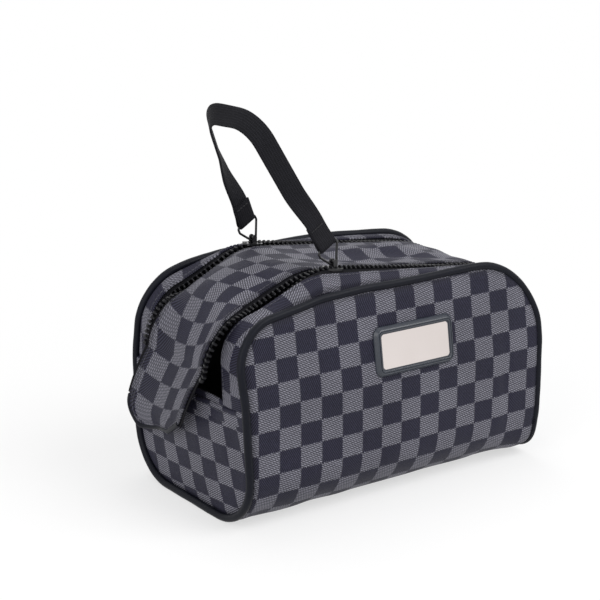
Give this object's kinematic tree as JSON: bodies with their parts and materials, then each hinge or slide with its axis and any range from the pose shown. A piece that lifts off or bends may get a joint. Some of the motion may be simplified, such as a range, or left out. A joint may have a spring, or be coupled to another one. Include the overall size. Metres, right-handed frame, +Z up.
{
  "type": "toiletry bag",
  "caption": "Soft box-shaped toiletry bag with piped walls, a lid between two zippers that folds open at one end, and a webbing strap on the sliders.",
  "frame": {"origin": "centre of the flat bottom on which the bag rests, under the middle of its body", "axes": "+X along the body to its closed end, -Y out of the front wall with the nameplate, +Z up"},
  "size_m": [0.2925, 0.1617, 0.3013],
  "materials": {
    "check_canvas": "coated twill in two tones of grey check",
    "piping": "smooth covered piping",
    "cord": "round filler cord",
    "foam": "thin sewn-in foam",
    "lining": "plain woven lining",
    "tape": "woven zipper tape",
    "teeth": "moulded teeth",
    "hardware": "dark plated metal",
    "webbing": "ribbed webbing",
    "plate_frame": "dark satin frame",
    "plate": "satin bare plate",
    "backing": "plain sheet"
  },
  "bodies": {
    "bag": {"body_wrap": "check_canvas", "foam_interlining": "foam", "lining": "lining", "piping_cover": "piping", "piping_cord": "cord", "end_panel_left": "check_canvas", "end_panel_right": "check_canvas", "end_hem_left": "check_canvas", "end_hem_right": "check_canvas", "side_strip_front": "check_canvas", "side_strip_rear": "check_canvas", "lid_panel": "check_canvas", "strip_tape_front": "tape", "strip_tape_rear": "tape", "lid_tape_front": "tape", "lid_tape_rear": "tape", "strip_teeth_front": "teeth", "strip_teeth_rear": "teeth", "lid_teeth_front": "teeth", "lid_teeth_rear": "teeth", "nameplate_frame": "plate_frame", "nameplate_plate": "plate", "nameplate_backing": "backing"},
    "lid_flap": {"lid_flap": "check_canvas", "tongue_facing": "lining", "tongue_binding": "piping", "flap_tape_front": "tape", "flap_tape_rear": "tape", "flap_teeth_front": "teeth", "flap_teeth_rear": "teeth", "flap_stops": "teeth"},
    "slider_front": {"slider_front": "hardware"},
    "slider_rear": {"slider_rear": "hardware"},
    "strap": {"strap": "webbing"},
    "bail_front": {"bail_front": "hardware"},
    "bail_rear": {"bail_rear": "hardware"}
  },
  "joints": [
    {"name": "lid_lift", "type": "hinge", "parent": "bag", "child": "lid_flap", "pos_m": [-0.076, 0, 0.1773], "axis": [0, 1, 0], "range_deg": [0, 60]},
    {"name": "slider_front_travel", "type": "slide", "parent": "bag", "child": "slider_front", "axis": [0.9936, 0, -0.1128], "range_m": [0, 0.125]},
    {"name": "slider_rear_travel", "type": "slide", "parent": "bag", "child": "slider_rear", "axis": [0.9936, 0, -0.1128], "range_m": [0, 0.125]},
    {"name": "strap_swing", "type": "hinge", "parent": "slider_front", "child": "strap", "pos_m": [-0.03996, -0.0445, 0.18423], "axis": [-0.1489, 0.9887, 0.0169], "range_deg": [0, 82]},
    {"name": "bail_front_swing", "type": "hinge", "parent": "slider_front", "child": "bail_front", "pos_m": [-0.03996, -0.0445, 0.18423], "axis": [-0.1489, 0.9887, 0.0169], "range_deg": [0, 82]},
    {"name": "bail_rear_swing", "type": "hinge", "parent": "slider_rear", "child": "bail_rear", "pos_m": [-0.05336, 0.0445, 0.18575], "axis": [-0.1489, 0.9887, 0.0169], "range_deg": [0, 82]}
  ],
  "couplings": [
    {"joint": "slider_rear_travel", "follows": "slider_front_travel", "ratio": 1},
    {"joint": "bail_front_swing", "follows": "strap_swing", "ratio": 1},
    {"joint": "bail_rear_swing", "follows": "strap_swing", "ratio": 1}
  ]
}
